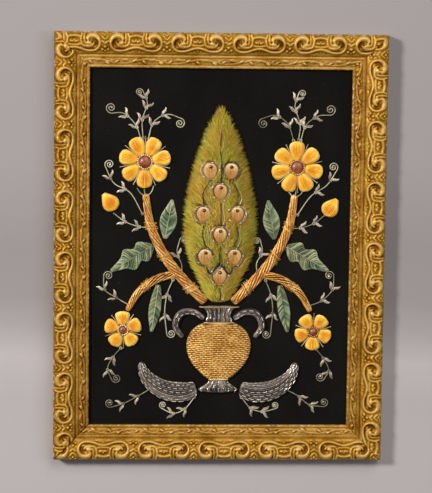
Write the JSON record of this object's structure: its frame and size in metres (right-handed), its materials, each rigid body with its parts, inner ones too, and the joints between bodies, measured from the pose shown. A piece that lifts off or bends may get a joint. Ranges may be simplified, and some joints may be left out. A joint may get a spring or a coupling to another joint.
{
  "type": "padded embroidery in a gilt frame",
  "caption": "Padded metal-thread and silk embroidery on a black velvet panel, held in a carved gilt picture frame with mitred corners and lying on its back.",
  "frame": {"origin": "centre of the frame's back, where the picture lies on a surface", "axes": "+X to the right across the picture, +Y up the picture, +Z out of its face"},
  "size_m": [0.32, 0.414, 0.0214],
  "materials": {
    "gilt_moulding": "worn gilt over carved wood and moulded composition, satin",
    "board": "plain brown hardboard, matt",
    "velvet": "black cotton velvet, matt, with a soft nap",
    "gold_thread": "couched gold metal thread in basket rows, satin",
    "slate_thread": "slate violet metal thread and silk with pale flecks, satin",
    "green_silk": "olive green silk plush, matt",
    "peach_silk": "peach satin stitch over padding, satin",
    "amber_thread": "orange gold couched thread over padding, satin",
    "yellow_silk": "yellow to orange satin stitch over padding, satin",
    "garnet_stone": "brown red moulded stone, glossy",
    "sage_silk": "sage green satin stitch, satin"
  },
  "bodies": {
    "root": {"back_board": "board", "base_scroll_left": "slate_thread", "base_scroll_right": "slate_thread", "blossom_left_heart": "garnet_stone", "blossom_left_petal_1": "yellow_silk", "blossom_left_petal_2": "yellow_silk", "blossom_left_petal_3": "yellow_silk", "blossom_left_petal_4": "yellow_silk", "blossom_left_petal_5": "yellow_silk", "blossom_right_heart": "garnet_stone", "blossom_right_petal_1": "yellow_silk", "blossom_right_petal_2": "yellow_silk", "blossom_right_petal_3": "yellow_silk", "blossom_right_petal_4": "yellow_silk", "blossom_right_petal_5": "yellow_silk", "bud_left": "yellow_silk", "bud_right": "yellow_silk", "cypress": "green_silk", "flower_left_heart": "garnet_stone", "flower_left_petal_1": "yellow_silk", "flower_left_petal_2": "yellow_silk", "flower_left_petal_3": "yellow_silk", "flower_left_petal_4": "yellow_silk", "flower_left_petal_5": "yellow_silk", "flower_left_petal_6": "yellow_silk", "flower_left_petal_7": "yellow_silk", "flower_right_heart": "garnet_stone", "flower_right_petal_1": "yellow_silk", "flower_right_petal_2": "yellow_silk", "flower_right_petal_3": "yellow_silk", "flower_right_petal_4": "yellow_silk", "flower_right_petal_5": "yellow_silk", "flower_right_petal_6": "yellow_silk", "flower_right_petal_7": "yellow_silk", "fruit_1": "peach_silk", "fruit_2": "peach_silk", "fruit_3": "peach_silk", "fruit_4": "peach_silk", "fruit_5": "peach_silk", "fruit_6": "peach_silk", "fruit_7": "peach_silk", "fruit_8": "peach_silk", "fruit_9": "peach_silk", "leaf_left_high": "sage_silk", "leaf_left_low": "sage_silk", "leaf_right_high": "sage_silk", "leaf_right_low": "sage_silk", "rail_bottom": "gilt_moulding", "rail_left": "gilt_moulding", "rail_right": "gilt_moulding", "rail_top": "gilt_moulding", "stem_left": "amber_thread", "stem_right": "amber_thread", "urn_bowl": "gold_thread", "urn_foot": "slate_thread", "urn_handle_left": "slate_thread", "urn_handle_right": "slate_thread", "urn_neck": "slate_thread", "velvet_ground": "velvet"}
  },
  "joints": []
}
